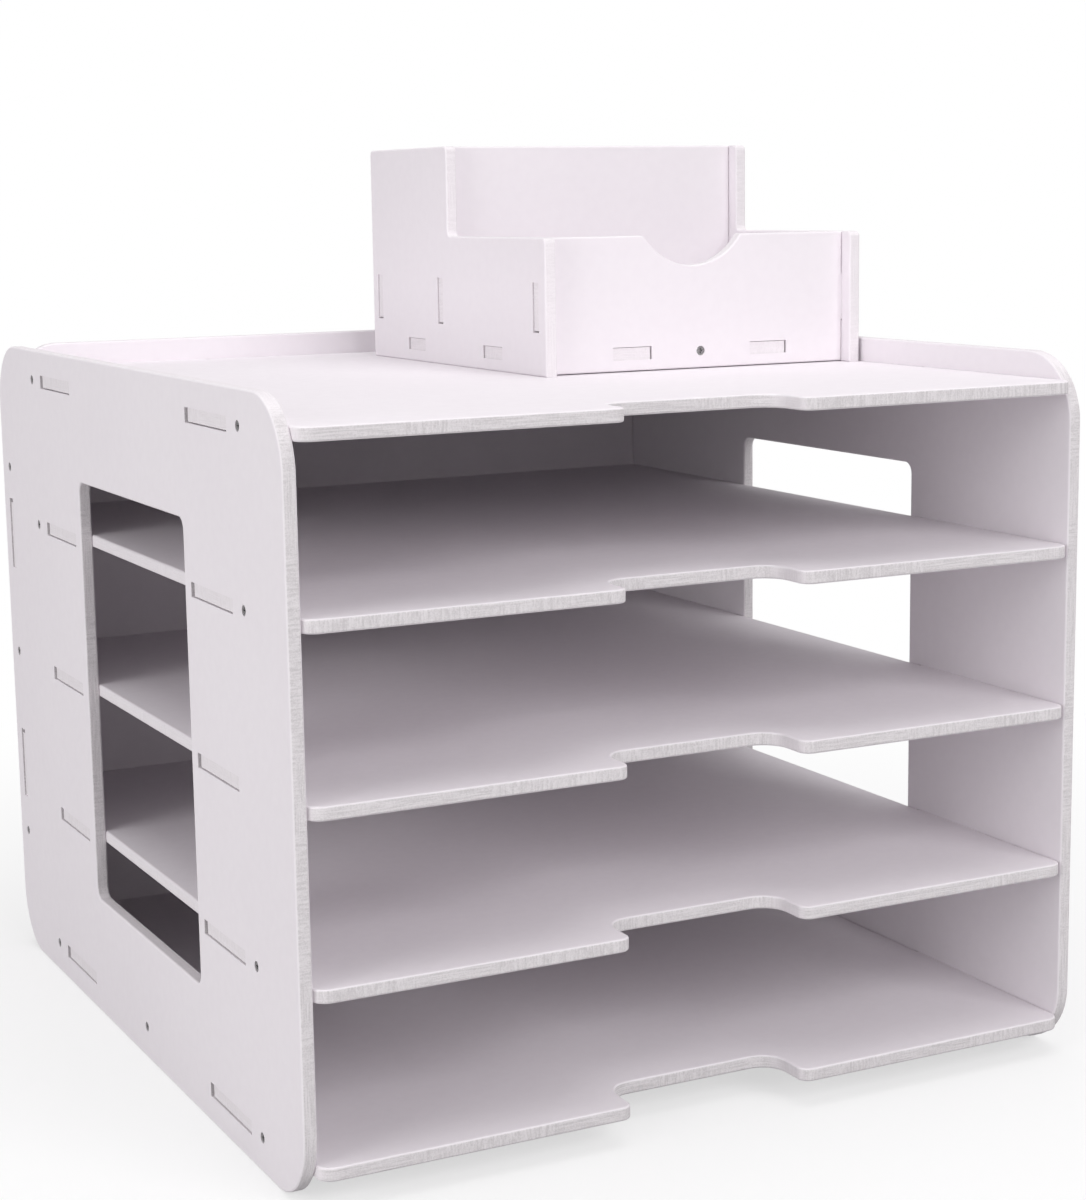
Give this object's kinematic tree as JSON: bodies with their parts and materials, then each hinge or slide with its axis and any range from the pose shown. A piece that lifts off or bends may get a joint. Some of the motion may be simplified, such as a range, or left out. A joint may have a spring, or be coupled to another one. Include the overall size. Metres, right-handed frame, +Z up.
{
  "type": "document holder with pen box",
  "caption": "White board document holder with open shelves, windowed sides and finger notches, and a stepped pen box that lifts off the top shelf.",
  "frame": {"origin": "on the ground, under the middle of the overall box", "axes": "+Z up, -Y towards the open front, +X to the right as seen from the front"},
  "size_m": [0.351, 0.3874, 0.3905],
  "materials": {
    "white_board": "matte",
    "dark_screw": "satin"
  },
  "bodies": {
    "holder": {"left_side_panel": "white_board", "right_side_panel": "white_board", "back_panel": "white_board", "bottom_shelf": "white_board", "lower_shelf": "white_board", "middle_shelf": "white_board", "upper_shelf": "white_board", "top_shelf": "white_board", "bottom_shelf_screws": "dark_screw", "lower_shelf_screws": "dark_screw", "upper_shelf_screws": "dark_screw", "top_shelf_screws": "dark_screw", "back_panel_screws": "dark_screw"},
    "pen_box": {"pen_box_left_wall": "white_board", "pen_box_right_wall": "white_board", "pen_box_front_wall": "white_board", "pen_box_divider": "white_board", "pen_box_back_wall": "white_board", "pen_box_floor": "white_board", "pen_box_screws": "dark_screw"}
  },
  "joints": [
    {"name": "pen_box_lift", "type": "slide", "parent": "holder", "child": "pen_box", "axis": [0, 0, 1], "range_m": [0, 0.08]}
  ]
}
